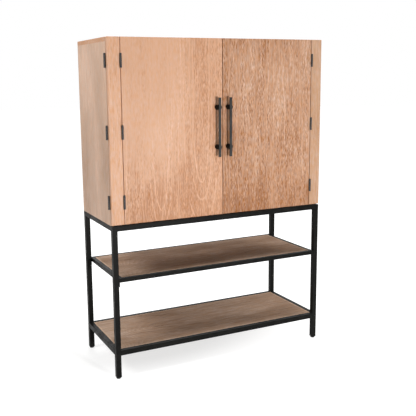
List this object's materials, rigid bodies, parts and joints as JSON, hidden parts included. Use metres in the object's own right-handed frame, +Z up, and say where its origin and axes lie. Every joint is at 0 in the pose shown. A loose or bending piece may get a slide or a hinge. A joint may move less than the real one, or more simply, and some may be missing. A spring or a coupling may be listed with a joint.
{
  "type": "bar armoire",
  "caption": "Wooden bar armoire on an open black steel stand with shelves; each side of the front is a corner panel and a door that fold open on butt hinges.",
  "frame": {"origin": "floor level, at the centre of the overall plan with the handles and side hinges", "axes": "+Z up, +X to the right as seen from the front, the doors face -Y"},
  "size_m": [1.181, 0.482, 1.61],
  "materials": {
    "veneer_tan": "satin open-grain veneer",
    "veneer_inside": "matt veneer",
    "wood_brown": "oiled",
    "steel_black": "aged black",
    "hinge_black": "black",
    "handle_grey": "dark brushed",
    "handle_black": "black",
    "screw_black": "black",
    "screw_steel": "zinc",
    "bright_steel": "plated",
    "glide_plastic": "black"
  },
  "bodies": {
    "cabinet": {"back": "veneer_inside", "bar_shelf": "veneer_inside", "bottom": "veneer_inside", "divider": "veneer_inside", "foot_glides": "glide_plastic", "left_side": "veneer_tan", "leg_back_left": "steel_black", "leg_back_right": "steel_black", "leg_front_left": "steel_black", "leg_front_right": "steel_black", "loose_shelf": "veneer_inside", "lower_rail_back": "steel_black", "lower_rail_front": "steel_black", "lower_rail_left": "steel_black", "lower_rail_right": "steel_black", "lower_shelf_board": "wood_brown", "magnetic_catches": "bright_steel", "middle_rail_back": "steel_black", "middle_rail_front": "steel_black", "middle_rail_left": "steel_black", "middle_rail_right": "steel_black", "middle_shelf_board": "wood_brown", "middle_shelf_lugs": "steel_black", "outer_hinge_cabinet_leaves": "hinge_black", "outer_hinge_cabinet_screws": "screw_black", "outer_hinge_pins": "hinge_black", "right_side": "veneer_tan", "shelf_pegs": "bright_steel", "stemware_rails": "veneer_inside", "support_tabs": "steel_black", "tab_screws": "screw_steel", "top": "veneer_tan", "top_rail_back": "steel_black", "top_rail_front": "steel_black", "top_rail_left": "steel_black", "top_rail_right": "steel_black"},
    "left_door": {"left_door": "veneer_tan", "left_door_screws": "screw_black", "left_handle_bar": "handle_grey", "left_handle_posts": "handle_black", "left_handle_screws": "screw_steel", "left_inner_hinge_door_leaves": "hinge_black", "left_strike_plate": "bright_steel"},
    "left_fold_panel": {"left_fold_panel": "veneer_tan", "left_fold_panel_screws": "screw_black", "left_inner_hinge_panel_leaves": "hinge_black", "left_inner_hinge_pins": "hinge_black", "left_outer_hinge_panel_leaves": "hinge_black"},
    "right_door": {"right_door": "veneer_tan", "right_door_screws": "screw_black", "right_handle_bar": "handle_grey", "right_handle_posts": "handle_black", "right_handle_screws": "screw_steel", "right_inner_hinge_door_leaves": "hinge_black", "right_strike_plate": "bright_steel"},
    "right_fold_panel": {"right_fold_panel": "veneer_tan", "right_fold_panel_screws": "screw_black", "right_inner_hinge_panel_leaves": "hinge_black", "right_inner_hinge_pins": "hinge_black", "right_outer_hinge_panel_leaves": "hinge_black"}
  },
  "joints": [
    {"name": "left_fold_hinge", "type": "hinge", "parent": "cabinet", "child": "left_fold_panel", "pos_m": [-0.5855, -0.1875, 1.1825], "axis": [0, 0, -1], "range_deg": [0, 90]},
    {"name": "left_door_hinge", "type": "hinge", "parent": "left_fold_panel", "child": "left_door", "pos_m": [-0.5185, -0.2145, 1.1825], "axis": [0, 0, -1], "range_deg": [0, 180]},
    {"name": "right_fold_hinge", "type": "hinge", "parent": "cabinet", "child": "right_fold_panel", "pos_m": [0.5855, -0.1875, 1.1825], "axis": [0, 0, 1], "range_deg": [0, 90]},
    {"name": "right_door_hinge", "type": "hinge", "parent": "right_fold_panel", "child": "right_door", "pos_m": [0.5185, -0.2145, 1.1825], "axis": [0, 0, 1], "range_deg": [0, 180]}
  ]
}
